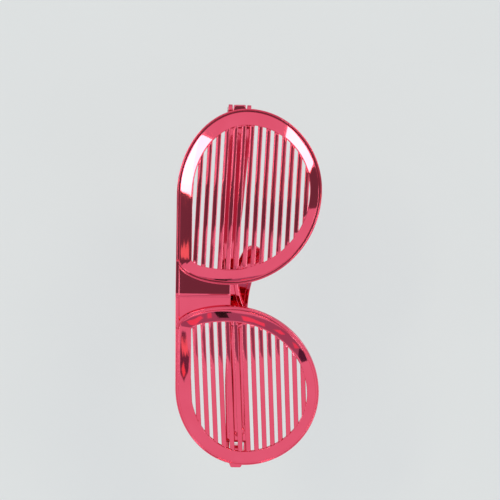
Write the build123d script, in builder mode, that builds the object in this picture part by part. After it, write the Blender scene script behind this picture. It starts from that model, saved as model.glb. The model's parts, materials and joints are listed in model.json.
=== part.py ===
from build123d import *
import os
from math import asin, cos, degrees, radians, sin

# Jumbo shutter glasses, folded and lying face up on their temples. Millimetres.
# +X runs along the width, +Y points to the brow and +Z out of the front face. They rest on the plane z = 0.
# Each half of the front is a flat panel: s is measured along it from the middle of the bridge, t up from its
# middle line and n out of its back face. The two panels meet in a bend at the bridge.

# Outline of one lens field, along the panel
nose_reach = 7.2
brow_start = 24.0
brow_end = 68.0
low_point = 72.0
outer_reach = 127.3
# Outline of one lens field, up the panel
brow_height = 49.4
nose_level = 13.0
outer_level = 2.0
lens_drop = 49.4
# Backward lean of each panel from the middle, in degrees, and the rounding of the bend
panel_wrap = 12.5
bend_radius = 6.0

# Heights of the front moulding above its back face
flange_thick = 2.2
bead_rise = 0.5
band_foot = 2.8
band_crown = 4.4
slat_thick = 2.2
# Widths round the lens field, from the outline inwards
bead_width = 1.0
groove_width = 1.3
rim_wall = 2.1

# Slots
slot_count = 15
slot_pitch = 5.6
slot_width = 2.5
slot_drop = 2.5
slot_middle_s = 66.0
slot_middle_t = -2.1
slat_rounding = 0.6
slat_bulge = 0.09
field_brow_inset = 10.8
field_outer_inset = 11.3
field_low_inset = 8.2
field_nose_inset = 10.4
field_margin = 0.5

# Bridge plate and brow lip
bridge_low = 12.0
bridge_front = 0.9
bridge_back = 1.3
bridge_under_rim = 3.2
lip_width = 2.4

# Tab at each outer end, seen from the front: how far it stands out of the lens outline and reaches under it
tab_overhang = 2.2
tab_root_inset = 6.3
tab_tip_width = 7.1
tab_root_width = 13.0
tab_rounding = 1.6

# Hinge: place of the axis within the outline and behind the panel, and the lug that carries it
hinge_level = 7.3
hinge_inset = 0.3
hinge_drop = 9.0
lug_width = 8.4
lug_radius = 4.0
lug_back = 9.7
lug_heel = 1.2
lug_chamfer = 0.6
pin_radius = 1.25
pin_clearance = 0.06
pin_head_radius = 2.1
pin_head_thick = 0.7
pin_head_chamfer = 0.3

# Temple, with a along it from the hinge axis and b towards the brow
temple_thick = 5.0
prong_radius = 4.0
prong_gap = 9.9
prong_thick = 2.9
fork_depth = 11.1
crest_along = 58.0
crest_up = 10.1
waist_along = 104.0
waist_up = 8.7
belly_along = 58.0
belly_down = 5.8
neck_along = 112.0
neck_down = 3.5
tip_along = 143.3
tip_down = 5.0
tip_radius = 7.2
tip_droop = 32.0
channel_rim = 2.7
channel_depth = 2.2
channel_start = 18.0
channel_point = 4.0
outer_chamfer = 0.9

# How the folded temples lie: one rests over the other, and both lean in their hinges
cross_gap = 0.4
hinge_lean = 2.0

# One overrun serves every cut
overrun = 1.0

fork_width = prong_gap + 2 * prong_thick
middle_y = (lens_drop - brow_height) / 2
tab_reach = outer_reach + tab_overhang
tab_root_reach = outer_reach - tab_root_inset
hinge_reach = outer_reach - hinge_inset
wrap_run = cos(radians(panel_wrap))
wrap_fall = sin(radians(panel_wrap))
hinge_x = hinge_reach * wrap_run - hinge_drop * wrap_fall
hinge_y = middle_y + hinge_level
hinge_z = prong_radius
panel_z = hinge_z + hinge_reach * wrap_fall + hinge_drop * wrap_run
temple_reach = tip_along + tip_radius
body_top = temple_thick - prong_radius
raise_angle = degrees(asin((temple_thick + cross_gap) / (2 * hinge_x - temple_reach)))

panel_plane = Plane(
    origin=(0, middle_y, panel_z), x_dir=(wrap_run, 0, -wrap_fall), z_dir=(wrap_fall, 0, wrap_run)
)

# Cross-section plane of the slots, with x across them towards the brow
slot_run = panel_plane.x_dir * cos(radians(slot_drop)) - panel_plane.y_dir * sin(radians(slot_drop))
slot_across = panel_plane.x_dir * sin(radians(slot_drop)) + panel_plane.y_dir * cos(radians(slot_drop))
slot_middle = panel_plane.from_local_coords(Vector(slot_middle_s, slot_middle_t, 0))
slot_plane = Plane(origin=slot_middle, x_dir=slot_across, z_dir=slot_run)

lean_run = cos(radians(hinge_lean))
lean_side = sin(radians(hinge_lean))
raise_run = cos(radians(raise_angle))
raise_up = sin(radians(raise_angle))
# The right temple lies flat, with its inner face up. The left one lies over it, so it is raised at its tip.
right_plane = Plane(
    origin=(-hinge_x, hinge_y, hinge_z), x_dir=(lean_run, -lean_side, 0), z_dir=(0, 0, 1)
)
left_plane = Plane(
    origin=(hinge_x, hinge_y, hinge_z),
    x_dir=(-lean_run * raise_run, lean_side * raise_run, raise_up),
    z_dir=(lean_run * raise_up, -lean_side * raise_up, raise_run),
)


def panel_point(s, n):
    """The x and z of a point of the +X panel."""
    return (s * wrap_run + n * wrap_fall, panel_z - s * wrap_fall + n * wrap_run)


def lens_loop(brow_inset, outer_inset, low_inset, nose_inset):
    """One closed loop inside the lens outline: the brow line and four quarter ellipses."""
    brow = brow_height - brow_inset
    outer = outer_reach - outer_inset
    low = lens_drop - low_inset
    nose = nose_reach + nose_inset
    Line((brow_start, brow), (brow_end, brow))
    EllipticalCenterArc((brow_end, outer_level), outer - brow_end, brow - outer_level, 0, arc_size=90)
    EllipticalCenterArc((low_point, outer_level), outer - low_point, low + outer_level, 270, arc_size=90)
    EllipticalCenterArc((low_point, nose_level), low_point - nose, low + nose_level, 180, arc_size=90)
    EllipticalCenterArc((brow_start, nose_level), brow_start - nose, brow - nose_level, 90, arc_size=90)


def lens_face(height, inset):
    """The face inside the loop that lies one inset within the outline, at a height over the back face."""
    with BuildSketch(panel_plane.offset(height)) as face:
        with BuildLine():
            lens_loop(inset, inset, inset, inset)
        make_face()
    return face.sketch


def field_face(height, margin):
    """The slatted field of one lens, widened by a margin, at a height over the back face."""
    with BuildSketch(panel_plane.offset(height)) as field:
        with BuildLine():
            lens_loop(
                field_brow_inset - margin, field_outer_inset - margin,
                field_low_inset - margin, field_nose_inset - margin,
            )
        make_face()
    return field.sketch


def slot_profile(middle):
    """Cross-section of one slot, with a flared mouth that rounds the slats on each side of it."""
    half = slot_width / 2
    mouth = half + slat_rounding
    shoulder = band_crown - slat_rounding
    crest = shoulder + slat_rounding / 2 + slat_bulge
    side = half + slat_rounding / 2 - slat_bulge
    Polyline(
        (middle + mouth, band_crown), (middle + mouth, band_crown + overrun),
        (middle - mouth, band_crown + overrun), (middle - mouth, band_crown),
    )
    ThreePointArc((middle - mouth, band_crown), (middle - side, crest), (middle - half, shoulder))
    Polyline(
        (middle - half, shoulder), (middle - half, -overrun),
        (middle + half, -overrun), (middle + half, shoulder),
    )
    ThreePointArc((middle + half, shoulder), (middle + side, crest), (middle + mouth, band_crown))


def bridge_face(height):
    """Half of the bridge plate: from past the middle to just under the rim of the lens."""
    half_width = brow_start + 2 * bridge_under_rim
    with BuildSketch(panel_plane.offset(height)) as plate:
        with BuildLine():
            Polyline(
                (-bridge_under_rim, bridge_low), (half_width, bridge_low), (half_width, brow_height),
                (-bridge_under_rim, brow_height), close=True,
            )
        make_face()
        with BuildLine():
            lens_loop(bridge_under_rim, bridge_under_rim, bridge_under_rim, bridge_under_rim)
        make_face(mode=Mode.SUBTRACT)
    return plate.sketch


def lip_face():
    """The lip along the brow edge of half of the bridge."""
    with BuildSketch(panel_plane) as lip:
        with BuildLine():
            Polyline(
                (-bridge_under_rim, brow_height - lip_width), (brow_start, brow_height - lip_width),
                (brow_start, brow_height), (-bridge_under_rim, brow_height), close=True,
            )
        make_face()
    return lip.sketch


def tab_face():
    """The tab at the outer end, which narrows to a rounded tip over the hinge."""
    root = tab_root_width / 2
    tip = tab_tip_width / 2
    with BuildSketch(panel_plane) as tab:
        with BuildLine():
            Polyline(
                (tab_root_reach, hinge_level - root), (tab_reach, hinge_level - tip),
                (tab_reach, hinge_level + tip), (tab_root_reach, hinge_level + root),
                close=True,
            )
        make_face()
        fillet(tab.vertices().group_by(Axis.X)[-1], radius=tab_rounding)
    return tab.sketch


def lug_face():
    """Side view of the hinge lug, from under the slats down to the round end about the axis."""
    under_slats = band_crown - slat_thick
    inner_x = hinge_x - lug_back
    inner_s = (inner_x - under_slats * wrap_fall) / wrap_run
    outer_top = panel_point(tab_reach - tab_rounding, flange_thick / 2)
    with BuildSketch(Plane.XZ.offset(-hinge_y)) as lug:
        with BuildLine():
            Polyline(
                (inner_x, panel_point(inner_s, under_slats)[1]), (inner_x, hinge_z - lug_heel),
                (hinge_x, hinge_z - lug_radius), (hinge_x + lug_radius, hinge_z), outer_top, close=True,
            )
        make_face()
        with Locations((hinge_x, hinge_z)):
            Circle(lug_radius)
    return lug.sketch


# The slots of one lens: even bars, cut off where the slatted field ends
with BuildPart() as slot_cutters:
    with BuildSketch(slot_plane) as slot_profiles:
        for i in range(slot_count):
            with BuildLine():
                slot_profile((i - (slot_count - 1) / 2) * slot_pitch)
            make_face()
    extrude(slot_profiles.sketch, amount=outer_reach, both=True)
    extrude(field_face(0, 0), amount=band_crown + overrun, mode=Mode.INTERSECT)

# Hinge lug, bevelled along both sides, with its top end buried in the front
with BuildPart() as hinge_lug:
    extrude(lug_face(), amount=lug_width / 2, both=True)
    side_faces = hinge_lug.faces().sort_by(Axis.Y)
    chamfer(side_faces[0].edges() + side_faces[-1].edges(), length=lug_chamfer)

# One half of the front. It runs a little past the middle, and is trimmed there before it is mirrored.
with BuildPart() as half_front:
    # Flange under the whole lens, and the bead round its edge
    extrude(lens_face(0, 0), amount=flange_thick)
    extrude(lens_face(flange_thick, 0), amount=bead_rise)
    extrude(lens_face(flange_thick, bead_width), amount=bead_rise, mode=Mode.SUBTRACT)
    # Raised band, which slopes up from the groove to the slatted field
    band_inset = bead_width + groove_width
    extrude(lens_face(0, band_inset), amount=band_foot)
    loft([lens_face(band_foot, band_inset), field_face(band_crown, field_margin)], ruled=True)
    # Hollow back, so that the wall under the band stays even
    pocket_sections = [lens_face(0, band_inset + rim_wall), field_face(band_crown - slat_thick, field_margin)]
    loft(pocket_sections, ruled=True, mode=Mode.SUBTRACT)
    add(slot_cutters.part, mode=Mode.SUBTRACT)
    # Bridge plate and brow lip
    extrude(bridge_face(-bridge_back), amount=bridge_front + bridge_back)
    extrude(lip_face(), amount=flange_thick + bead_rise)
    # Tab and hinge lug at the outer end
    extrude(tab_face(), amount=flange_thick)
    add(hinge_lug.part)
    split(bisect_by=Plane.YZ)

with BuildPart() as front_frame:
    add(half_front.part)
    mirror(about=Plane.YZ)
    # Rounded bend at the middle of the bridge
    cross_edges = front_frame.edges().filter_by(Axis.Y)
    bend_edges = cross_edges.filter_by(lambda e: abs(e.center().X) < bridge_back * wrap_fall)
    fillet(bend_edges, radius=bend_radius)
    # Bores of the hinge lugs
    for hinge in (right_plane, left_plane):
        with BuildSketch(Plane(origin=hinge.origin, x_dir=hinge.x_dir, z_dir=hinge.y_dir)) as bore:
            Circle(pin_radius + pin_clearance)
        extrude(bore.sketch, amount=lug_width, both=True, mode=Mode.SUBTRACT)
front_frame.part.label = "front_frame"


def temple_loop(up, inset):
    """Plan outline of a temple, or a loop within it. up is 1 where the plane's y points to the brow, or -1."""
    droop_run = cos(radians(tip_droop))
    droop_side = sin(radians(tip_droop))
    root = fork_width / 2 - inset
    hook = tip_radius - inset
    tip_top = (tip_along + hook * droop_side, up * (hook * droop_run - tip_down))
    tip_end = (tip_along + hook * droop_run, up * (-tip_down - hook * droop_side))
    tip_low = (tip_along - hook * droop_side, up * (-tip_down - hook * droop_run))
    Spline(
        (fork_depth, up * root), (crest_along, up * (crest_up - inset)),
        (waist_along, up * (waist_up - inset)), tip_top,
        tangents=((1, 0), (droop_run, -up * droop_side)),
    )
    ThreePointArc(tip_top, tip_end, tip_low)
    Spline(
        tip_low, (neck_along, up * (inset - neck_down)),
        (belly_along, up * (inset - belly_down)), (fork_depth, -up * root),
        tangents=((-droop_run, up * droop_side), (-1, 0)),
    )
    Line((fork_depth, -up * root), (fork_depth, up * root))


def temple_face(plane, up):
    """Plan of a temple: its body, and the two prongs on each side of the lug."""
    with BuildSketch(plane) as outline:
        with BuildLine():
            temple_loop(up, 0)
        make_face()
        with Locations((fork_depth, fork_width / 2)):
            Rectangle(fork_depth + prong_radius, prong_thick, align=Align.MAX)
        with Locations((fork_depth, -fork_width / 2)):
            Rectangle(fork_depth + prong_radius, prong_thick, align=(Align.MAX, Align.MIN))
    return outline.sketch


def channel_face(plane, up):
    """The channel of the inner face: the outline inside its rim, cut to a point towards the hinge."""
    with BuildSketch(plane) as channel:
        with BuildLine():
            temple_loop(up, channel_rim)
        make_face()
        with BuildLine():
            Polyline(
                (temple_reach, fork_width), (channel_start + channel_point, fork_width),
                (channel_start, 0), (channel_start + channel_point, -fork_width), (temple_reach, -fork_width),
                close=True,
            )
        make_face(mode=Mode.INTERSECT)
    return channel.sketch


def profile_face(plane):
    """Side profile of a temple: the round eye, the taper of the prongs and the even body."""
    with BuildSketch(plane) as profile:
        with BuildLine():
            Polyline(
                (0, prong_radius), (fork_depth, body_top), (temple_reach + overrun, body_top),
                (temple_reach + overrun, -prong_radius), (0, -prong_radius), close=True,
            )
        make_face()
        Circle(prong_radius)
    return profile.sketch


def build_temple(plane, up):
    """Adds a temple to the active part. plane has its origin on the hinge axis and x along the temple."""
    side_plane = Plane(origin=plane.origin, x_dir=plane.x_dir, z_dir=-plane.y_dir)
    face_axis = Axis(plane.origin, plane.z_dir)
    extrude(temple_face(plane.offset(-prong_radius), up), amount=2 * prong_radius)
    outer_face = faces().filter_by(face_axis).sort_by(face_axis)[0]
    chamfer(outer_face.edges().filter_by(lambda e: e.length > fork_width), length=outer_chamfer)
    extrude(profile_face(side_plane), amount=temple_reach, both=True, mode=Mode.INTERSECT)
    extrude(channel_face(plane.offset(body_top), up), amount=-channel_depth, mode=Mode.SUBTRACT)
    with BuildSketch(side_plane) as eye:
        Circle(pin_radius)
    extrude(eye.sketch, amount=fork_width, both=True, mode=Mode.SUBTRACT)


def build_pin(plane, up):
    """Adds a hinge pin to the active part, with its low head on the brow side of the fork."""
    shank_end = up * fork_width / 2
    head_end = up * (fork_width / 2 + pin_head_thick)
    with BuildSketch(plane) as profile:
        with BuildLine():
            Polyline(
                (0, -shank_end), (pin_radius, -shank_end), (pin_radius, shank_end),
                (pin_head_radius, shank_end), (pin_head_radius, head_end), (0, head_end),
                close=True,
            )
        make_face()
        head_corner = profile.vertices().sort_by(lambda v: -(v.X + up * v.Y))[0]
        chamfer(head_corner, length=pin_head_chamfer)
    revolve(profile.sketch, axis=Axis(plane.origin, plane.y_dir))


with BuildPart() as right_temple:
    build_temple(right_plane, 1)
right_temple.part.label = "right_temple"

with BuildPart() as left_temple:
    build_temple(left_plane, -1)
left_temple.part.label = "left_temple"

with BuildPart() as right_hinge_pin:
    build_pin(right_plane, 1)
right_hinge_pin.part.label = "right_hinge_pin"

with BuildPart() as left_hinge_pin:
    build_pin(left_plane, -1)
left_hinge_pin.part.label = "left_hinge_pin"

os.makedirs("parts", exist_ok=True)
export_step(front_frame.part, "parts/front_frame.step")
export_step(right_temple.part, "parts/right_temple.step")
export_step(left_temple.part, "parts/left_temple.step")
export_step(right_hinge_pin.part, "parts/right_hinge_pin.step")
export_step(left_hinge_pin.part, "parts/left_hinge_pin.step")

print("hinge axes at x", round(hinge_x, 3), "y", round(hinge_y, 3), "z", round(hinge_z, 3))
print("left temple raised by", round(raise_angle, 3), "degrees, both lean by", hinge_lean)
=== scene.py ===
import math

import bmesh
import bpy
from mathutils import Matrix, Vector
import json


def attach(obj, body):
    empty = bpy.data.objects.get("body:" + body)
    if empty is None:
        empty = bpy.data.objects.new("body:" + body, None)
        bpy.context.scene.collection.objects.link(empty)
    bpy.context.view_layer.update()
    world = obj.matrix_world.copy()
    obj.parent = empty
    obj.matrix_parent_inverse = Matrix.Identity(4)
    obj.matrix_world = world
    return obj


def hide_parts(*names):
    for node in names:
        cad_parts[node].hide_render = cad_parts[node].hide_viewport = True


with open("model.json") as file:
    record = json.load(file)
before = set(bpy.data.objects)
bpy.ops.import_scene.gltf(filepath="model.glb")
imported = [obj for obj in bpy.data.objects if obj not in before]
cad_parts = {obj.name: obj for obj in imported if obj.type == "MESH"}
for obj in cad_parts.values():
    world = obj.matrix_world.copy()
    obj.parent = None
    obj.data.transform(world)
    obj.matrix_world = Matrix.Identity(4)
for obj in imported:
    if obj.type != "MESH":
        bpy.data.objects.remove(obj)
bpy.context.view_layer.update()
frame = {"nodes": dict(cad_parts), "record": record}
print("frame loaded:", ", ".join(sorted(frame["nodes"])))

# Sizes are in mm, and are turned into metres where a mesh is made
mm = 0.001
weldGap = 0.002  # corners nearer than this become one
rimSteps = 3  # facets across the rounded rim of a plate
roundProfile = 0.5  # of a bevel whose section is an arc
shadingWeight = 60  # past 50, large faces turn the shading more than small ones

# s runs along a panel from the middle of the bridge, t up it and n out of its back face
lens = {
    "noseReach": 7.2, "browStart": 24.0, "browEnd": 68.0, "lowPoint": 72.0, "outerReach": 127.3,
    "browHeight": 49.4, "noseLevel": 13.0, "outerLevel": 2.0, "lensDrop": 49.4,
    "browSteps": 16, "arcSteps": 40,
}
panel = {
    "wrap": 12.5,  # degrees that each half leans back
    "bendRadius": 4.4,  # of the back face, where the halves meet
    "hingeReach": 127.0, "hingeDrop": 9.0,  # the hinge axis, along and behind the panel
    "domeRise": 1.2, "domeMiddle": 65.0, "domeReach": 62.0, "domeHeight": 50.0,  # slight crown of each lens
    "bowRise": 0.8, "bowMiddle": 70.0, "bowReach": 63.0,  # bow of each half along its brow
}

wrapTurn = math.radians(panel["wrap"])
joints = frame["record"]["behaviour"]["joints"]
hingePlaces = {joint["name"].split("_")[0]: Vector(joint["pos_m"]) / mm for joint in joints}
hingeRise = panel["hingeReach"] * math.sin(wrapTurn) + panel["hingeDrop"] * math.cos(wrapTurn)
panelHeight = hingePlaces["left"].z + hingeRise


def domeAt(s, t):
    # how far the front swells out of the flat panel
    fromMiddle = ((s - panel["domeMiddle"]) / panel["domeReach"]) ** 2 + (t / panel["domeHeight"]) ** 2
    alongBow = max(1 - ((s - panel["bowMiddle"]) / panel["bowReach"]) ** 2, 0) ** 2
    bow = alongBow * max(t, 0) / lens["browHeight"]
    return panel["domeRise"] * max(1 - fromMiddle, 0) ** 2 + panel["bowRise"] * bow


def onPanel(s, t, n):
    # the place in the model, in metres; a negative s lies on the wearer's right half
    side = -1 if s < 0 else 1
    s = abs(s)
    radius = panel["bendRadius"] + n + domeAt(s, t)
    tangent = panel["bendRadius"] * math.tan(wrapTurn)
    turn = wrapTurn * min(s / tangent, 1)
    run = max(s - tangent, 0)
    x = radius * math.sin(turn) + run * math.cos(wrapTurn)
    centre = panelHeight - panel["bendRadius"] / math.cos(wrapTurn)
    z = centre + radius * math.cos(turn) - run * math.sin(wrapTurn)
    return Vector((side * x, t, z)) * mm


def lensLoop(insets):
    # one loop inside the lens outline, clockwise from the start of the brow line
    browInset, outerInset, lowInset, noseInset = insets
    brow = lens["browHeight"] - browInset
    outer = lens["outerReach"] - outerInset
    low = lens["lensDrop"] - lowInset
    nose = lens["noseReach"] + noseInset
    browStart, browEnd, lowPoint = lens["browStart"], lens["browEnd"], lens["lowPoint"]
    noseLevel, outerLevel = lens["noseLevel"], lens["outerLevel"]
    arcs = [  # middle, half widths and first angle of each quarter ellipse
        (browEnd, outerLevel, outer - browEnd, brow - outerLevel, 90),
        (lowPoint, outerLevel, outer - lowPoint, low + outerLevel, 0),
        (lowPoint, noseLevel, lowPoint - nose, low + noseLevel, -90),
        (browStart, noseLevel, browStart - nose, brow - noseLevel, -180),
    ]
    steps = lens["browSteps"]
    points = [(browStart + (browEnd - browStart) * k / steps, brow) for k in range(steps)]
    for middleS, middleT, halfS, halfT, start in arcs:
        for k in range(lens["arcSteps"]):
            angle = math.radians(start - 90 * k / lens["arcSteps"])
            points.append((middleS + halfS * math.cos(angle), middleT + halfT * math.sin(angle)))
    return points


def roundedPath(corners, steps=4, closed=True):
    # a path through (a, b, radius) corners, each turned by an arc of that radius
    path = []
    count = len(corners)
    for k, (a, b, radius) in enumerate(corners):
        here = Vector((a, b))
        if radius == 0 or (not closed and k in (0, count - 1)):
            path.append(here)
            continue
        before = (Vector(corners[k - 1][:2]) - here).normalized()
        after = (Vector(corners[(k + 1) % count][:2]) - here).normalized()
        half = before.angle(after) / 2
        middle = here + (before + after).normalized() * radius / math.sin(half)
        start = here + before * radius / math.tan(half) - middle
        turn = (math.pi - 2 * half) * (1 if before.cross(after) < 0 else -1)
        for j in range(steps + 1):
            path.append(middle + Matrix.Rotation(turn * j / steps, 2) @ start)
    return path


def refined(path, longest):
    # the closed path with extra points where a run is long
    result = []
    for k, start in enumerate(path):
        end = path[(k + 1) % len(path)]
        pieces = max(1, math.ceil((end - start).length / longest))
        result += [start.lerp(end, j / pieces) for j in range(pieces)]
    return result


def newPiece(name, points, faces):
    mesh = bpy.data.meshes.new(name)
    mesh.from_pydata(points, [], faces)
    piece = bpy.data.objects.new(name, mesh)
    bpy.context.scene.collection.objects.link(piece)
    bm = bmesh.new()
    bm.from_mesh(mesh)
    bmesh.ops.remove_doubles(bm, verts=bm.verts, dist=weldGap * mm)
    bmesh.ops.recalc_face_normals(bm, faces=bm.faces)
    bm.to_mesh(mesh)
    bm.free()
    return piece


def ringFaces(rows, columns, closedRows=True):
    # quads between rows of points; every row closes on itself
    faces = []
    for r in range(rows if closedRows else rows - 1):
        here = r * columns
        after = (r + 1) % rows * columns
        for c in range(columns):
            beside = (c + 1) % columns
            faces.append((here + c, here + beside, after + beside, after + c))
    return faces


def prism(name, outline, low, high, place):
    # a flat solid: outline in its own plane, low and high across it
    count = len(outline)
    points = [place(a, b, level) for level in (low, high) for a, b in outline]
    faces = [tuple(range(count)), tuple(range(2 * count - 1, count - 1, -1))]
    faces += [(k, (k + 1) % count, count + (k + 1) % count, count + k) for k in range(count)]
    return newPiece(name, points, faces)


def plate(name, outline, low, high, rounding, place):
    # a flat solid with rounded rims
    piece = prism(name, outline, low, high, place)
    bm = bmesh.new()
    bm.from_mesh(piece.data)
    caps = [face for face in bm.faces if len(face.verts) > 4]  # the walls between them are quads
    rims = [edge for cap in caps for edge in cap.edges]
    bmesh.ops.bevel(
        bm, geom=rims, offset=rounding * mm, segments=rimSteps, profile=roundProfile, affect="EDGES"
    )
    bmesh.ops.recalc_face_normals(bm, faces=bm.faces)
    bm.to_mesh(piece.data)
    bm.free()
    return piece


def settle(piece):
    # works out the modifiers and keeps the result as the piece's plain mesh
    graph = bpy.context.evaluated_depsgraph_get()
    result = bpy.data.meshes.new_from_object(piece.evaluated_get(graph), depsgraph=graph)
    piece.modifiers.clear()
    piece.data = result


def dress(piece, body, node, material):
    # gives a piece its finish, and the body that it rides on
    piece.data.materials.clear()
    piece.data.materials.append(material)
    piece.data.polygons.foreach_set("material_index", [0] * len(piece.data.polygons))
    piece.data.polygons.foreach_set("use_smooth", [True] * len(piece.data.polygons))
    weighted = piece.modifiers.new("even shading", "WEIGHTED_NORMAL")
    weighted.weight = shadingWeight
    settle(piece)
    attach(piece, body)
    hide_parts(node)


# Shader maths in plain expressions: a Channel is one output of a node

class Channel:
    def __init__(self, bench, socket):
        self.bench = bench
        self.socket = socket

    def mathNode(self, operation, first, second):
        return self.bench.add("ShaderNodeMath", {"operation": operation}, {0: first, 1: second})

    def __add__(self, other):
        return self.mathNode("ADD", self, other)

    def __radd__(self, other):
        return self.mathNode("ADD", other, self)

    def __sub__(self, other):
        return self.mathNode("SUBTRACT", self, other)

    def __rsub__(self, other):
        return self.mathNode("SUBTRACT", other, self)

    def __mul__(self, other):
        return self.mathNode("MULTIPLY", self, other)

    def __rmul__(self, other):
        return self.mathNode("MULTIPLY", other, self)

    def __truediv__(self, other):
        return self.mathNode("DIVIDE", self, other)

    def __rtruediv__(self, other):
        return self.mathNode("DIVIDE", other, self)

    def __pow__(self, other):
        return self.mathNode("POWER", self, other)

    def __rpow__(self, other):
        return self.mathNode("POWER", other, self)


class NodeBench:
    def __init__(self, tree):
        self.tree = tree

    def add(self, kind, settings=None, values=None, output=0):
        # a node of a kind, its settings first, then the values or links of its sockets
        node = self.tree.nodes.new(kind)
        for name, setting in (settings or {}).items():
            if name == "stops":
                for stop, (position, colour) in zip(node.color_ramp.elements, setting):
                    stop.position = position
                    stop.color = colour
            else:
                setattr(node, name, setting)
        for name, value in (values or {}).items():
            if isinstance(value, Channel):
                self.tree.links.new(value.socket, node.inputs[name])
            else:
                node.inputs[name].default_value = value
        return Channel(self, node.outputs[output] if node.outputs else None)


def newMaterial(name):
    material = bpy.data.materials.new(name)
    material.use_nodes = True
    material.node_tree.nodes.clear()
    return material, NodeBench(material.node_tree)


def noise(bench, place, scale, detail):
    return bench.add("ShaderNodeTexNoise", None, {"Vector": place, "Scale": scale, "Detail": detail})


def blended(bench, share, first, second):
    # a colour between two others
    return bench.add("ShaderNodeMix", {"data_type": "RGBA"}, {0: share, 6: first, 7: second}, output=2)


# Bright pink metallized coating on moulded plastic: scales per metre, heights in mm
pinkFinish = {
    "bright": (0.80, 0.108, 0.185, 1), "deep": (0.74, 0.085, 0.150, 1),
    "cloudScale": 45.0, "cloudDetail": 3.0, "cloudContrast": 1.6, "cloudCut": 0.35,
    "peelScale": 620.0, "peelDetail": 2.0, "peelHeight": 0.0012,
    "waveScale": 38.0, "waveDetail": 1.0, "waveHeight": 0.14,
    "scuffScale": (90.0, 1400.0, 1400.0), "scuffDetail": 4.0, "scuffFrom": 0.56, "scuffTo": 0.74,
    "roughness": 0.025, "roughnessSpread": 0.05, "cloudShare": 0.5, "scuffShare": 0.5,
}


def makePink():
    material, bench = newMaterial("metallizedPink")
    place = bench.add("ShaderNodeTexCoord", output="Object")
    clouds = noise(bench, place, pinkFinish["cloudScale"], pinkFinish["cloudDetail"])
    peel = noise(bench, place, pinkFinish["peelScale"], pinkFinish["peelDetail"])
    wave = noise(bench, place, pinkFinish["waveScale"], pinkFinish["waveDetail"])
    stretched = bench.add("ShaderNodeMapping", None, {"Vector": place, "Scale": pinkFinish["scuffScale"]})
    scuffs = noise(bench, stretched, 1.0, pinkFinish["scuffDetail"])
    stops = [(pinkFinish["scuffFrom"], (0, 0, 0, 1)), (pinkFinish["scuffTo"], (1, 1, 1, 1))]
    scuffMask = bench.add("ShaderNodeValToRGB", {"stops": stops}, {"Fac": scuffs})
    brightness = clouds * pinkFinish["cloudContrast"] - pinkFinish["cloudCut"]
    colour = blended(bench, brightness, pinkFinish["deep"], pinkFinish["bright"])
    uneven = clouds * pinkFinish["cloudShare"] + scuffMask * pinkFinish["scuffShare"]
    roughness = pinkFinish["roughness"] + uneven * pinkFinish["roughnessSpread"]
    height = peel * pinkFinish["peelHeight"] + wave * pinkFinish["waveHeight"]
    normal = bench.add("ShaderNodeBump", None, {"Strength": 1.0, "Distance": mm, "Height": height})
    surface = bench.add("ShaderNodeBsdfPrincipled", None, {
        "Base Color": colour, "Metallic": 1.0, "Roughness": roughness, "Normal": normal,
    })
    bench.add("ShaderNodeOutputMaterial", None, {"Surface": surface})
    return material


# Steel of the pins, with specks and fine lines that run round the axis
steelFinish = {
    "colour": (0.62, 0.60, 0.58, 1), "shade": (0.45, 0.43, 0.41, 1),
    "speckScale": 900.0, "speckDetail": 4.0, "speckContrast": 1.2, "speckCut": 0.1,
    "lineScale": 2600.0, "lineStretch": (0.15, 1.0, 0.15), "lineDetail": 3.0,
    "lineStrength": 0.6, "lineHeight": 0.004,
    "roughness": 0.26, "roughnessSpread": 0.15,
}


def makeSteel():
    material, bench = newMaterial("pinSteel")
    place = bench.add("ShaderNodeTexCoord", output="Object")
    stretched = bench.add("ShaderNodeMapping", None, {"Vector": place, "Scale": steelFinish["lineStretch"]})
    lines = noise(bench, stretched, steelFinish["lineScale"], steelFinish["lineDetail"])
    specks = noise(bench, place, steelFinish["speckScale"], steelFinish["speckDetail"])
    brightness = specks * steelFinish["speckContrast"] - steelFinish["speckCut"]
    colour = blended(bench, brightness, steelFinish["shade"], steelFinish["colour"])
    roughness = steelFinish["roughness"] + lines * steelFinish["roughnessSpread"]
    normal = bench.add("ShaderNodeBump", None, {
        "Strength": steelFinish["lineStrength"], "Distance": steelFinish["lineHeight"] * mm, "Height": lines,
    })
    surface = bench.add("ShaderNodeBsdfPrincipled", None, {
        "Base Color": colour, "Metallic": 1.0, "Roughness": roughness, "Normal": normal,
    })
    bench.add("ShaderNodeOutputMaterial", None, {"Surface": surface})
    return material


pink = makePink()
steel = makeSteel()
print("materials made")

# Rim of a lens: outer wall, edge bead, groove, band up to the slats, and the hollow back
rim = {
    "flange": 2.2, "beadTop": 2.7, "beadWidth": 1.0, "grooveEnd": 2.3, "bandFoot": 2.8, "crown": 4.385,
    "slatBack": 2.2, "pocketStart": 4.4, "fieldInsets": (10.8, 11.3, 8.2, 10.4), "fieldMargin": 0.5,
    "bandBulge": 0.05, "longestRun": 1.0,
    "edgeRounding": 0.35, "beadRounding": 0.4, "grooveRounding": 0.12, "footRounding": 0.3,
    "bandRounding": 3.0, "fieldRounding": 0.25, "backRounding": 0.6,
}
nominalField = sum(rim["fieldInsets"]) / len(rim["fieldInsets"])
nominalCrown = nominalField - rim["fieldMargin"]


def rimInsets(depth):
    # a depth across the rim, as an inset from the outline on each of its four sides
    foot = rim["grooveEnd"]
    if depth <= foot:
        return (depth,) * len(rim["fieldInsets"])
    share = min((depth - foot) / (nominalCrown - foot), 1)
    beyond = max(depth - nominalCrown, 0)
    return tuple(foot + share * (inset - rim["fieldMargin"] - foot) + beyond for inset in rim["fieldInsets"])


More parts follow.
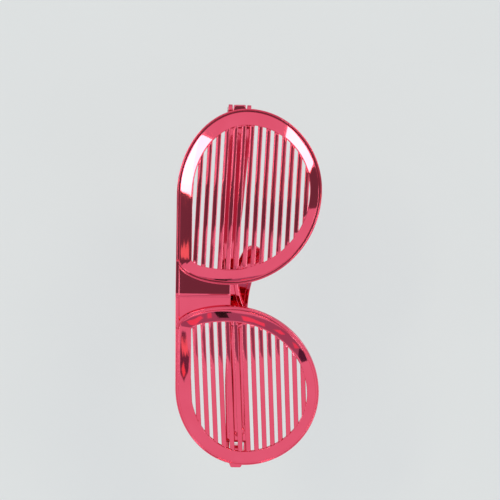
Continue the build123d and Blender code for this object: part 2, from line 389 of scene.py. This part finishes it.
def makeRim(name, side):
    section = roundedPath([
        (0, 0, rim["edgeRounding"]), (0, rim["beadTop"], rim["beadRounding"]),
        (rim["beadWidth"], rim["beadTop"], rim["edgeRounding"]),
        (rim["beadWidth"], rim["flange"], rim["grooveRounding"]),
        (rim["grooveEnd"], rim["flange"], rim["grooveRounding"]),
        (rim["grooveEnd"], rim["bandFoot"], rim["footRounding"]),
        (nominalCrown, rim["crown"], rim["bandRounding"]),
        (nominalField, rim["crown"], rim["fieldRounding"]),
        (nominalField, rim["slatBack"], rim["fieldRounding"]),
        (nominalCrown, rim["slatBack"], rim["backRounding"]), (rim["pocketStart"], 0, rim["backRounding"]),
    ])
    section = refined(section, rim["longestRun"])
    points = []
    for depth, level in section:
        share = (depth - rim["grooveEnd"]) / (nominalCrown - rim["grooveEnd"])
        if level > rim["flange"] and 0 < share < 1:
            level += rim["bandBulge"] * 4 * share * (1 - share)
        points += [onPanel(side * s, t, level) for s, t in lensLoop(rimInsets(depth))]
    return newPiece(name, points, ringFaces(len(section), len(points) // len(section)))


# Slats of a lens: even bars by Geometry Nodes, cut off just inside the rim
slats = {
    "Count": 16, "Pitch": 5.6, "Width": 3.3, "Thickness": 2.2, "Rounding": 0.6, "Length": 134.0,
    "Crown": 0.12,  # how far the faces fall towards their edges, as a share of half the thickness
    "Tilt": math.radians(-2.5), "Middle": (66.0, -2.1, 3.3),
}
slatMaking = {
    "stations": 60, "cornerSteps": 4,  # points along a bar, and in the arc of one of its corners
    "sink": 0.25, "cover": 0.5,  # how far the ends go into the rim, and the cutter past the faces
}


def makeSlatTree():
    tree = bpy.data.node_groups.new("slatBars", "GeometryNodeTree")
    sockets = {
        "Count": "NodeSocketInt", "Pitch": "NodeSocketFloat", "Width": "NodeSocketFloat",
        "Thickness": "NodeSocketFloat", "Rounding": "NodeSocketFloat", "Length": "NodeSocketFloat",
        "Crown": "NodeSocketFloat", "Tilt": "NodeSocketFloat", "Middle": "NodeSocketVector",
    }
    for name, kind in sockets.items():
        tree.interface.new_socket(name, in_out="INPUT", socket_type=kind)
    tree.interface.new_socket("Geometry", in_out="OUTPUT", socket_type="NodeSocketGeometry")
    bench = NodeBench(tree)
    inputs = tree.nodes.new("NodeGroupInput")
    given = {name: Channel(bench, inputs.outputs[name]) for name in sockets}
    ahead = bench.add("ShaderNodeCombineXYZ", None, {"X": given["Length"] * 0.5})
    behind = bench.add("ShaderNodeCombineXYZ", None, {"X": given["Length"] * -0.5})
    line = bench.add("GeometryNodeCurvePrimitiveLine", None, {"Start": behind, "End": ahead})
    stations = bench.add(
        "GeometryNodeResampleCurve", None, {"Curve": line, "Count": slatMaking["stations"]}
    )
    square = bench.add("GeometryNodeCurvePrimitiveQuadrilateral", None, {
        "Width": given["Width"], "Height": given["Thickness"],
    })
    profile = bench.add("GeometryNodeFilletCurve", {"mode": "POLY"}, {
        "Curve": square, "Count": slatMaking["cornerSteps"], "Radius": given["Rounding"],
    })
    halved = bench.add("GeometryNodeSubdivideCurve", None, {"Curve": profile, "Cuts": 1})
    place = bench.add("GeometryNodeInputPosition")
    across = bench.add("ShaderNodeSeparateXYZ", None, {"Vector": place}, output=0)
    high = bench.add("ShaderNodeSeparateXYZ", None, {"Vector": place}, output=1)
    lowered = high * (1 - given["Crown"] * (across * 2 / given["Width"]) ** 2)
    crowned = bench.add("GeometryNodeSetPosition", None, {
        "Geometry": halved, "Position": bench.add("ShaderNodeCombineXYZ", None, {"X": across, "Y": lowered}),
    })
    bar = bench.add(
        "GeometryNodeCurveToMesh", None, {"Curve": stations, "Profile Curve": crowned, "Fill Caps": True}
    )
    step = bench.add("ShaderNodeCombineXYZ", None, {"Y": given["Pitch"]})
    firstBar = bench.add("ShaderNodeCombineXYZ", None, {"Y": (given["Count"] - 1) * given["Pitch"] * -0.5})
    row = bench.add(
        "GeometryNodeMeshLine", None, {"Count": given["Count"], "Start Location": firstBar, "Offset": step}
    )
    bars = bench.add("GeometryNodeInstanceOnPoints", None, {"Points": row, "Instance": bar})
    turn = bench.add("ShaderNodeCombineXYZ", None, {"Z": given["Tilt"]})
    placed = bench.add(
        "GeometryNodeTransform", None, {"Geometry": bars, "Translation": given["Middle"], "Rotation": turn}
    )
    whole = bench.add("GeometryNodeRealizeInstances", None, {"Geometry": placed})
    finished = bench.add("GeometryNodeSetMaterial", None, {"Geometry": whole, "Material": pink})
    bench.add("NodeGroupOutput", None, {"Geometry": finished})
    return tree


def makeSlats(name, side, tree):
    field = lensLoop([inset - slatMaking["sink"] for inset in rim["fieldInsets"]])
    reach = slats["Thickness"] / 2 + slatMaking["cover"]
    middle = slats["Middle"][2]
    cutter = prism(name + "Field", field, middle - reach, middle + reach, lambda s, t, n: (s, t, n))
    piece = newPiece(name, [], [])
    bars = piece.modifiers.new("bars", "NODES")
    bars.node_group = tree
    for item in tree.interface.items_tree:
        if item.in_out == "INPUT":
            bars[item.identifier] = slats[item.name]
    clip = piece.modifiers.new("field", "BOOLEAN")
    clip.operation = "INTERSECT"
    clip.solver = "EXACT"
    clip.object = cutter
    settle(piece)
    bpy.data.objects.remove(cutter)
    for vertex in piece.data.vertices:
        vertex.co = onPanel(side * vertex.co.x, vertex.co.y, vertex.co.z)
    if side < 0:
        piece.data.flip_normals()
    return piece


# Bridge plate between the lenses, with the lip along its brow edge
bridge = {
    "low": 12.0, "front": 0.9, "back": -1.3, "underRim": 3.2, "lipFoot": 47.0, "lipTop": 2.7,
    "edgeRounding": 0.8, "lipRounding": 0.4, "longestRun": 1.5, "columns": 26, "columnSpread": 1.6,
}


def makeBridge():
    brow, level, under = lens["browHeight"], lens["noseLevel"], bridge["underRim"]
    section = refined(roundedPath([
        (bridge["low"], bridge["back"], bridge["edgeRounding"]),
        (bridge["low"], bridge["front"], bridge["edgeRounding"]),
        (bridge["lipFoot"], bridge["front"], bridge["lipRounding"]),
        (bridge["lipFoot"], bridge["lipTop"], bridge["lipRounding"]),
        (brow, bridge["lipTop"], bridge["lipRounding"]),
        (brow, bridge["back"], bridge["lipRounding"]),
    ]), bridge["longestRun"])
    columns = bridge["columns"]
    points = []
    for t, n in section:
        # each row ends under the rim of the lens on either side
        if t >= level:
            start, half = lens["browStart"], brow - under - level
        else:
            start, half = lens["lowPoint"], lens["lensDrop"] - under + level
        share = math.sqrt(max(1 - ((t - level) / half) ** 2, 0))
        reach = start - (start - lens["noseReach"] - under) * share
        for k in range(-columns, columns + 1):
            part = (abs(k) / columns) ** bridge["columnSpread"]
            points.append(onPanel(math.copysign(reach * part, k), t, n))
    rows = len(section)
    width = 2 * columns + 1
    faces = []
    for r in range(rows):
        here = r * width
        after = (r + 1) % rows * width
        faces += [(here + k, here + k + 1, after + k + 1, after + k) for k in range(width - 1)]
    faces.append(tuple(r * width for r in range(rows)))
    faces.append(tuple(r * width + width - 1 for r in reversed(range(rows))))
    return newPiece("bridge", points, faces)


# Tab and hinge lug at each outer end
hinge = {
    "level": 7.3, "lean": 2.0,  # of the axis: up the panel, and in degrees off the brow direction
    "tabReach": 129.5, "tabTip": 3.55, "tabRootReach": 121.0, "tabRoot": 6.5,  # tip and root are half widths
    "tabTop": 2.15, "tabBack": 0.03, "tabRounding": 1.6, "tabEdge": 0.45, "tabSteps": 6,
    "lugHalf": 4.2, "lugRadius": 4.0, "lugBack": 9.7, "lugHeel": 1.2, "lugSink": 0.5, "lugRounding": 0.8,
    "lugSteps": 12, "boreRadius": 1.31, "boreSides": 48,
}
lean = math.radians(hinge["lean"])


def makeTab(name, side):
    level, tip, root = hinge["level"], hinge["tabTip"], hinge["tabRoot"]
    outline = roundedPath([
        (hinge["tabRootReach"], level - root, 0), (hinge["tabReach"], level - tip, hinge["tabRounding"]),
        (hinge["tabReach"], level + tip, hinge["tabRounding"]), (hinge["tabRootReach"], level + root, 0),
    ], steps=hinge["tabSteps"])
    return plate(
        name, outline, hinge["tabBack"], hinge["tabTop"], hinge["tabEdge"],
        lambda s, t, n: onPanel(side * s, t, n),
    )


def makeLug(name, side):
    axis = hingePlaces["left"]
    innerX = axis.x - hinge["lugBack"]
    innerS = (innerX - rim["slatBack"] * math.sin(wrapTurn)) / math.cos(wrapTurn)
    top = onPanel(innerS, hinge["level"], rim["slatBack"] + hinge["lugSink"]) / mm
    outerTop = onPanel(hinge["tabReach"] - hinge["tabRounding"], hinge["level"], rim["flange"] / 2) / mm
    outline = [Vector((top.x, top.z)), Vector((innerX, axis.z - hinge["lugHeel"]))]
    for k in range(hinge["lugSteps"] + 1):
        angle = math.radians(-90 + 90 * k / hinge["lugSteps"])
        across = axis.x + hinge["lugRadius"] * math.cos(angle)
        outline.append(Vector((across, axis.z + hinge["lugRadius"] * math.sin(angle))))
    outline.append(Vector((outerTop.x, outerTop.z)))
    piece = plate(
        name, outline, axis.y - hinge["lugHalf"], axis.y + hinge["lugHalf"], hinge["lugRounding"],
        lambda x, z, y: Vector((side * x, y, z)) * mm,
    )
    bore = newPiece(name + "Bore", [], [])
    bm = bmesh.new()
    direction = Vector((side * math.sin(lean), math.cos(lean), 0))
    turn = Vector((0, 0, 1)).rotation_difference(direction).to_matrix().to_4x4()
    place = Matrix.Translation(Vector((side * axis.x, axis.y, axis.z)) * mm) @ turn
    bmesh.ops.create_cone(
        bm, cap_ends=True, segments=hinge["boreSides"], radius1=hinge["boreRadius"] * mm,
        radius2=hinge["boreRadius"] * mm, depth=4 * hinge["lugHalf"] * mm, matrix=place,
    )
    bm.to_mesh(bore.data)
    bm.free()
    drill = piece.modifiers.new("bore", "BOOLEAN")
    drill.operation = "DIFFERENCE"
    drill.solver = "EXACT"
    drill.object = bore
    settle(piece)
    bpy.data.objects.remove(bore)
    return piece


slatTree = makeSlatTree()
for word, side in (("left", 1), ("right", -1)):
    frontPieces = [
        makeRim(word + "Rim", side), makeSlats(word + "Slats", side, slatTree),
        makeTab(word + "Tab", side), makeLug(word + "Lug", side),
    ]
    for piece in frontPieces:
        dress(piece, "front", "front_frame", pink)
    print(word, "half of the front made")
dress(makeBridge(), "front", "front_frame", pink)
print("bridge made")

# Temples: a along from the hinge axis, b to the brow and d out of the inner face, in mm
temple = {
    "forkDepth": 11.1, "forkHalf": 7.85, "gapHalf": 4.95, "crest": (58.0, 10.1), "waist": (104.0, 8.7),
    "belly": (58.0, -5.8), "neck": (112.0, -3.5), "tipAlong": 143.3, "tipDown": 5.0, "tipRadius": 7.2,
    "droop": 32.0, "outerFace": -4.0, "innerFace": 1.0, "outerRounding": 1.2, "innerRounding": 0.5,
    "rimWidth": 2.7, "channelFloor": -1.2, "channelRounding": 0.3, "channelMargin": 0.6,
    "channelStart": 20.0, "channelPull": 4.0, "channelFade": (6, 18),  # fade of the pull before and after
    "eyeRadius": 4.0, "prongRoot": 1.2, "prongDrop": 0.35, "prongShare": 0.997, "prongInset": 0.02,
    "prongRounding": 0.5, "stretchSteps": 90, "tipSteps": 16, "acrossSteps": 6, "prongSteps": 18,
    "restGap": 0.4,  # between the folded temples
}


def smoothRun(points, startWay, endWay, steps):
    # a smooth curve through points, with its directions at both ends
    ways = [Vector(startWay)]
    for k in range(1, len(points) - 1):
        ways.append((Vector(points[k + 1]) - Vector(points[k - 1])).normalized())
    ways.append(Vector(endWay))
    lengths = [(Vector(points[k + 1]) - Vector(points[k])).length for k in range(len(points) - 1)]
    whole = sum(lengths)
    result = []
    for j in range(steps):
        along = whole * j / steps
        k = 0
        while along > lengths[k]:
            along -= lengths[k]
            k += 1
        f, size = along / lengths[k], lengths[k]
        start, end = Vector(points[k]), Vector(points[k + 1])
        result.append(
            start * (2 * f ** 3 - 3 * f ** 2 + 1) + ways[k] * size * (f ** 3 - 2 * f ** 2 + f)
            + end * (3 * f ** 2 - 2 * f ** 3) + ways[k + 1] * size * (f ** 3 - f ** 2)
        )
    return result


def templeRail(upper, inset):
    # one side of the plan outline, from the fork to the end of the tip, moved in by an inset
    droop = math.radians(temple["droop"])
    hook = temple["tipRadius"] - inset
    centre = Vector((temple["tipAlong"], -temple["tipDown"]))
    if upper:
        middle = [(a, b - inset) for a, b in (temple["crest"], temple["waist"])]
        start, startAngle, turn = temple["forkHalf"] - inset, math.pi / 2 - droop, -1
    else:
        middle = [(a, b + inset) for a, b in (temple["belly"], temple["neck"])]
        start, startAngle, turn = inset - temple["forkHalf"], -math.pi / 2 - droop, 1
    tip = centre + hook * Vector((math.cos(startAngle), math.sin(startAngle)))
    endWay = (math.cos(droop), -math.sin(droop))
    bends = [(temple["forkDepth"], start)] + middle + [tuple(tip)]
    rail = smoothRun(bends, (1, 0), endWay, temple["stretchSteps"])
    for k in range(temple["tipSteps"] + 1):
        angle = startAngle + turn * math.pi / 2 * k / temple["tipSteps"]
        rail.append(centre + hook * Vector((math.cos(angle), math.sin(angle))))
    return rail


def addProngs(piece, place):
    # the fork: a prong on each side of the lug
    root = temple["forkDepth"] + temple["prongRoot"]
    outline = [Vector((root, temple["innerFace"] - temple["prongDrop"]))]
    radius = temple["prongShare"] * temple["eyeRadius"]
    for k in range(temple["prongSteps"] + 1):
        angle = math.radians(90 + 180 * k / temple["prongSteps"])
        outline.append(radius * Vector((math.cos(angle), math.sin(angle))))
    outline.append(Vector((root, temple["prongShare"] * temple["outerFace"])))
    bm = bmesh.new()
    bm.from_mesh(piece.data)
    for upSide in (1, -1):
        prong = plate(
            piece.name + "Prong", outline, temple["gapHalf"], temple["forkHalf"] - temple["prongInset"],
            temple["prongRounding"], lambda a, d, b: place(a, upSide * b, d),
        )
        bm.from_mesh(prong.data)
        bpy.data.objects.remove(prong)
    bm.to_mesh(piece.data)
    bm.free()


def makeTemple(name, place):
    outerFace, innerFace, rimWidth = temple["outerFace"], temple["innerFace"], temple["rimWidth"]
    rings = roundedPath([
        (temple["outerRounding"] * 2, outerFace, 0), (0, outerFace, temple["outerRounding"]),
        (0, innerFace, temple["innerRounding"]), (rimWidth, innerFace, temple["channelRounding"]),
        (rimWidth, temple["channelFloor"], temple["channelRounding"]),
        (rimWidth + temple["channelMargin"], temple["channelFloor"], 0),
    ], closed=False)
    rails = {upper: [templeRail(upper, inset) for inset, level in rings] for upper in (True, False)}
    stations = temple["stretchSteps"] + temple["tipSteps"] + 1
    across = temple["acrossSteps"]
    points = []
    for k in range(stations):
        along = rails[True][0][k].x
        deep = along > temple["channelStart"]
        row = []
        for upper in (True, False):
            half = []
            for (inset, level), rail in zip(rings, rails[upper]):
                if not deep and inset > temple["innerRounding"] and level != outerFace:
                    level = innerFace
                half.append((rail[k].x, rail[k].y, level))
            row.append(half)
        top, bottom = row[0], row[1][::-1]
        # the inner face or channel floor between the rims, pulled towards the hinge in the middle
        near = max(0, 1 - abs(along - temple["channelStart"]) / temple["channelFade"][deep])
        floor = []
        for j in range(1, across):
            f = j / across
            a = top[-1][0] * (1 - f) + bottom[0][0] * f - temple["channelPull"] * near * (1 - abs(2 * f - 1))
            floor.append((a, top[-1][1] * (1 - f) + bottom[0][1] * f, top[-1][2]))
        points += [place(*corner) for corner in top + floor + bottom]
    width = 2 * len(rings) + across - 1
    faces = ringFaces(stations, width, closedRows=False)
    faces.append(tuple(range(width)))
    piece = newPiece(name, points, faces)
    addProngs(piece, place)
    return piece


# The left temple lies over the right one, so it is raised at its tip
stackHeight = temple["innerFace"] - temple["outerFace"] + temple["restGap"]
rise = math.asin(stackHeight / (2 * hingePlaces["left"].x - (temple["tipAlong"] + temple["tipRadius"])))


def rightPlace(a, b, d):
    along = Vector((math.cos(lean), -math.sin(lean), 0))
    brow = Vector((math.sin(lean), math.cos(lean), 0))
    return (hingePlaces["right"] + along * a + brow * b + Vector((0, 0, d))) * mm


def leftPlace(a, b, d):
    along = Vector((-math.cos(lean) * math.cos(rise), math.sin(lean) * math.cos(rise), math.sin(rise)))
    outward = Vector((math.cos(lean) * math.sin(rise), -math.sin(lean) * math.sin(rise), math.cos(rise)))
    brow = -outward.cross(along)
    return (hingePlaces["left"] + along * a + brow * b + outward * d) * mm


for word, place in (("left", leftPlace), ("right", rightPlace)):
    piece = makeTemple(word + "Temple", place)
    dress(piece, word + "_temple_assembly", word + "_temple", pink)
    pin = frame["nodes"][word + "_hinge_pin"]
    if not pin.material_slots:
        pin.data.materials.append(steel)
    for pinSlot in pin.material_slots:
        pinSlot.material = steel
print("temples and pins made")

# Camera: from straight in front, 10 degrees towards the upper lens, with the photograph's slight roll
view = {
    "target": (31.55, -0.85), "distance": 2000.0, "tilt": 10.0, "roll": 0.69, "lens": 212.4, "sensor": 36.0,
}


def makeCamera():
    tilt, roll = math.radians(view["tilt"]), math.radians(view["roll"])
    away = Vector((math.sin(tilt), 0, math.cos(tilt)))
    level = Vector((math.cos(tilt), 0, -math.sin(tilt)))
    right = Vector((0, -1, 0))
    up = level * math.cos(roll) - right * math.sin(roll)
    across = up.cross(away)
    turn = Matrix((across, up, away)).transposed().to_4x4()
    target = Vector((*view["target"], panelHeight))
    cameraData = bpy.data.cameras.new("camera")
    cameraData.lens = view["lens"]
    cameraData.sensor_width = view["sensor"]
    camera = bpy.data.objects.new("camera", cameraData)
    camera.matrix_world = Matrix.Translation((target + away * view["distance"]) * mm) @ turn
    bpy.context.scene.collection.objects.link(camera)
    bpy.context.scene.camera = camera


makeCamera()

# Floor, studio flats and soft boxes. Directions are degrees from straight up, along x and along y.
studio = {
    "floor": (0.794, 0.822, 0.841, 1), "floorHalf": 3.0, "floorGlow": 0.6, "floorRoughness": 0.75,
    "floorDrop": 150.0,  # below the folded glasses, so that the temples can swing down
    "grainScale": 9.0, "grainDetail": 5.0, "grainShade": 0.97,
    "sky": (0.97, 0.985, 1.0, 1), "softLevel": 0.66,
    "boxDistance": 12.0, "boxColour": (1.0, 0.95, 0.62),
}
# Each flat hangs some metres from one place on the front, given in mm, and shows only in the gloss
flats = {
    "upperFlat": {"from": (0, 0), "distance": 11.0, "glow": (0.2, 0.2, 0.2), "outline": [
        (9, -46), (9, -33), (12, -25), (11.9, -13), (12.5, -7), (12.8, -3), (11.9, 1), (12.2, 5), (12.2, 13),
        (8.5, 18), (2, 20), (-3, 20.5), (2, 22.5), (-6, 24), (3, 25.5), (-4, 28), (2, 30), (-2, 36),
        (18.0, 36), (18.2, 22), (18.4, 5), (18.9, 3), (21.6, 2.6), (21.6, -6), (22.5, -18), (26.5, -29),
        (29.5, -36), (31, -46),
    ]},
    "redFlat": {"from": (0, 0), "distance": 10.8, "glow": (0.52, 0.42, 0.42), "outline": [
        (15.8, -4.5), (16.4, -9), (16.0, -14), (18, -19), (22.3, -18), (21.7, -4.5),
    ]},
    "lowerFlat": {"from": (0, 0), "distance": 11.0, "glow": (0.32, 0.32, 0.36), "outline": [
        (-31.5, 16), (-34.8, 14), (-34.1, 5), (-34.3, 0), (-34.8, -9), (-35.0, -15), (-31.5, -15),
    ]},
    "bandFlat": {"from": (-21, 4), "distance": 0.36, "glow": (0.44, 0.42, 0.5), "outline": [
        (-27, 30), (-18, 18), (-13.6, 8), (-13.0, 0), (-13.6, -8), (-15.8, -16), (-21, -26), (-28, -34),
        (-22, -40), (-14, -29), (-9.5, -18), (-7.8, -8), (-7.6, 0), (-7.6, 8), (-9.5, 18), (-18, 31),
    ]},
    "warmPatch": {"from": (-19, 36), "distance": 0.35, "glow": (1.1, 0.42, 0.5), "outline": [
        (-12.4, 15.5), (-9.7, 7.4), (-11.0, 6.0), (-13.2, 10.5), (-16.0, 17.5), (-14.5, 18.5),
    ]},
    "warmDash": {"from": (-14, 26), "distance": 0.35, "glow": (1.0, 0.4, 0.5), "outline": [
        (-9.6, 6.3), (-9.6, 4.6), (-12.1, 4.3), (-12.1, 5.8),
    ]},
    "shadePatch": {"from": (-11, 17), "distance": 0.35, "glow": (0.03, 0.05, 0.04), "outline": [
        (-8.8, 4.8), (-8.8, -1.0), (-9.4, -0.8), (-10.0, 1.2), (-12.2, 0.3), (-12.5, 3.4), (-9.5, 5.2),
    ]},
    "warmBand": {"from": (-17, -3), "distance": 0.35, "glow": (1.1, 0.42, 0.5), "outline": [
        (-9.4, -2.0), (-9.7, -4.8), (-12.1, -13.7), (-14.0, -13.4), (-12.3, -6.9), (-12.2, -2.7),
    ]},
    "warmSpark": {"from": (-26, -22), "distance": 0.35, "glow": (1.1, 0.42, 0.5), "outline": [
        (-13.3, -14.9), (-13.3, -19.0), (-15.2, -22.1), (-15.5, -19.2),
    ]},
    "warmEnd": {"from": (-35, -32), "distance": 0.35, "glow": (1.0, 0.38, 0.45), "outline": [
        (-16.9, -24.6), (-17.7, -26.8), (-20.5, -29.7), (-20.4, -26.0),
    ]},
    "shadeEnd": {"from": (-43, -40), "distance": 0.35, "glow": (0.1, 0.08, 0.14), "outline": [
        (-19.5, -28.5), (-24, -27.5), (-27.5, -30.5), (-27, -36), (-21, -34),
    ]},
    "lowFlame": {"from": (-46, 44), "distance": 0.35, "glow": (1.2, 0.75, 0.6), "outline": [
        (-35.0, 24.6), (-35.4, 26.0), (-35.2, 27.8), (-37.2, 27.6), (-36.3, 26.9), (-37.0, 26.3),
        (-36.1, 25.6), (-36.6, 24.7),
    ]},
    "lowShade": {"from": (-46, 44), "distance": 0.36, "glow": (0.18, 0.14, 0.2), "outline": [
        (-34.6, 25.6), (-34.6, 27.4), (-36.6, 28.8), (-40.0, 29.4), (-41.2, 27.8), (-39.0, 25.4),
        (-36.0, 24.0),
    ]},
    "lowDrop": {"from": (-46, 44), "distance": 0.35, "glow": (1.2, 0.45, 0.4), "outline": [
        (-38.0, 27.2), (-39.4, 28.4), (-40.8, 27.9), (-39.6, 26.6),
    ]},
    "flame": {"from": (24, 42), "distance": 0.35, "glow": (1.2, 0.95, 0.65), "outline": [
        (14.4, 27.1), (15.0, 26.5), (14.6, 25.8), (15.2, 25.0), (14.7, 24.2), (15.1, 23.3), (14.5, 22.4),
        (13.3, 22.2), (13.7, 23.4), (13.2, 24.4), (13.6, 25.3), (13.3, 26.4), (13.6, 27.1),
    ]},
    "flameFoot": {"from": (24, 42), "distance": 0.35, "glow": (1.2, 0.7, 0.9), "outline": [
        (13.1, 25.2), (13.0, 24.3), (12.2, 22.0), (12.1, 23.2),
    ]},
    "flameStreak": {"from": (24, 42), "distance": 0.35, "glow": (1.1, 0.5, 0.5), "outline": [
        (12.9, 26.8), (12.8, 26.0), (12.3, 24.6), (12.2, 25.6),
    ]},
    "templeShade": {"from": (61, 4), "distance": 0.5, "glow": (0.5, 0.13, 0.2), "outline": [
        (-6.8, -1.8), (3.5, -1.8), (3.5, 3.4), (-6.8, 3.4),
    ]},
    "edgeGlow": {"from": (0, 0), "distance": 11.0, "glow": (1.6, 2.9, 2.9), "outline": [
        (20.4, 24), (20.8, 31), (23.3, 41), (33.8, 61), (49.7, 74), (60, 74), (46, 31), (44, 24),
    ]},
    "leftShade": {"from": (0, 0), "distance": 11.1, "glow": (0.3, 0.14, 0.2), "outline": [
        (14.2, 31), (16, 41), (24, 61), (41.8, 76), (53.3, 76), (33.4, 61), (23, 41), (20.4, 31),
    ]},
    "rightShade": {"from": (0, 0), "distance": 11.1, "glow": (0.3, 0.14, 0.2), "outline": [
        (17.3, -46), (24, -61), (41.8, -76), (53.3, -76), (33.8, -61), (25.1, -46),
    ]},
    "beadLow": {"from": (15, 20), "distance": 0.35, "glow": (5.0, 11.0, 8.0), "outline": [
        (-28, 36), (-42, 35), (-50, 44), (-34, 48),
    ]},
    "beadRight": {"from": (0, 0), "distance": 11.0, "glow": (4.0, 9.0, 7.0), "outline": [
        (-6, -42), (10, -43), (22, -48), (22, -60), (-6, -60),
    ]},
}
boxes = {
    "brightLeft": {"ends": [(18.0, 26.6), (35.8, 21.5)], "width": 1.35, "level": 9.0},
    "brightRight": {"ends": [(39.8, -20.0), (29.4, -35.8)], "width": 1.35, "level": 9.0},
}
gaze = Vector((0, 0, panelHeight * mm))  # middle of the front, where the directions start


def towards(degreesX, degreesY):
    return Vector((math.tan(math.radians(degreesX)), math.tan(math.radians(degreesY)), 1)).normalized()


def directView(bench):
    # 1 for what the camera sees, straight or by way of metal or glass, and 0 for what lights the object
    rays = ("Is Camera Ray", "Is Glossy Ray", "Is Transmission Ray")
    seen = [bench.add("ShaderNodeLightPath", output=ray) for ray in rays]
    glossy = bench.add("ShaderNodeMath", {"operation": "MAXIMUM"}, {0: seen[0], 1: seen[1]})
    return bench.add("ShaderNodeMath", {"operation": "MAXIMUM"}, {0: glossy, 1: seen[2]})


def makeFloor():
    half, level = studio["floorHalf"], -studio["floorDrop"] * mm
    corners = [(-half, -half, level), (half, -half, level), (half, half, level), (-half, half, level)]
    floor = newPiece("floor", corners, [(0, 1, 2, 3)])
    material, bench = newMaterial("paleFloor")
    place = bench.add("ShaderNodeTexCoord", output="Object")
    grain = noise(bench, place, studio["grainScale"], studio["grainDetail"])
    shade = tuple(part * studio["grainShade"] for part in studio["floor"][:3]) + (1,)
    tone = blended(bench, grain, studio["floor"], shade)
    matt = bench.add("ShaderNodeBsdfPrincipled", None, {
        "Base Color": tone, "Roughness": studio["floorRoughness"],
    })
    glow = bench.add("ShaderNodeEmission", None, {"Color": tone, "Strength": 1.0})
    share = directView(bench) * studio["floorGlow"]
    surface = bench.add("ShaderNodeMixShader", None, {0: share, 1: matt, 2: glow})
    bench.add("ShaderNodeOutputMaterial", None, {"Surface": surface})
    floor.data.materials.append(material)


def hangFlat(name, values):
    place = gaze + Vector(values["from"]).to_3d() * mm
    rays = [towards(*corner) for corner in values["outline"]]
    corners = [place + ray * values["distance"] / ray.z for ray in rays]
    flat = newPiece(name, corners, [tuple(range(len(corners)))])
    material, bench = newMaterial(name + "Cloth")
    glow = bench.add("ShaderNodeEmission", None, {"Color": values["glow"] + (1,), "Strength": 1.0})
    bench.add("ShaderNodeOutputMaterial", None, {"Surface": glow})
    flat.data.materials.append(material)
    flat.visible_camera = False
    flat.visible_shadow = False
    flat.visible_diffuse = False


def hangBox(name, values):
    start, end = [gaze + towards(*corner) * studio["boxDistance"] for corner in values["ends"]]
    away = ((start + end) / 2 - gaze).normalized()
    along = (end - start).normalized()
    lamp = bpy.data.lights.new(name, "AREA")
    lamp.shape = "RECTANGLE"
    lamp.size, lamp.size_y = (end - start).length, values["width"]
    lamp.energy = values["level"] * math.pi * lamp.size * lamp.size_y
    lamp.color = studio["boxColour"]
    holder = bpy.data.objects.new(name, lamp)
    turn = Matrix((along, away.cross(along), away)).transposed().to_4x4()
    holder.matrix_world = Matrix.Translation((start + end) / 2) @ turn
    holder.visible_camera = False
    bpy.context.scene.collection.objects.link(holder)


def makeSky():
    world = bpy.data.worlds.new("studio")
    bpy.context.scene.world = world
    world.use_nodes = True
    world.node_tree.nodes.clear()
    bench = NodeBench(world.node_tree)
    strength = studio["softLevel"] + directView(bench) * (1 - studio["softLevel"])
    sky = bench.add("ShaderNodeBackground", None, {"Color": studio["sky"], "Strength": strength})
    bench.add("ShaderNodeOutputWorld", None, {"Surface": sky})


makeFloor()
for flatName, flatValues in flats.items():
    hangFlat(flatName, flatValues)
for boxName, boxValues in boxes.items():
    hangBox(boxName, boxValues)
makeSky()
bpy.context.scene.view_settings.view_transform = "Standard"
print("camera, floor and light made")
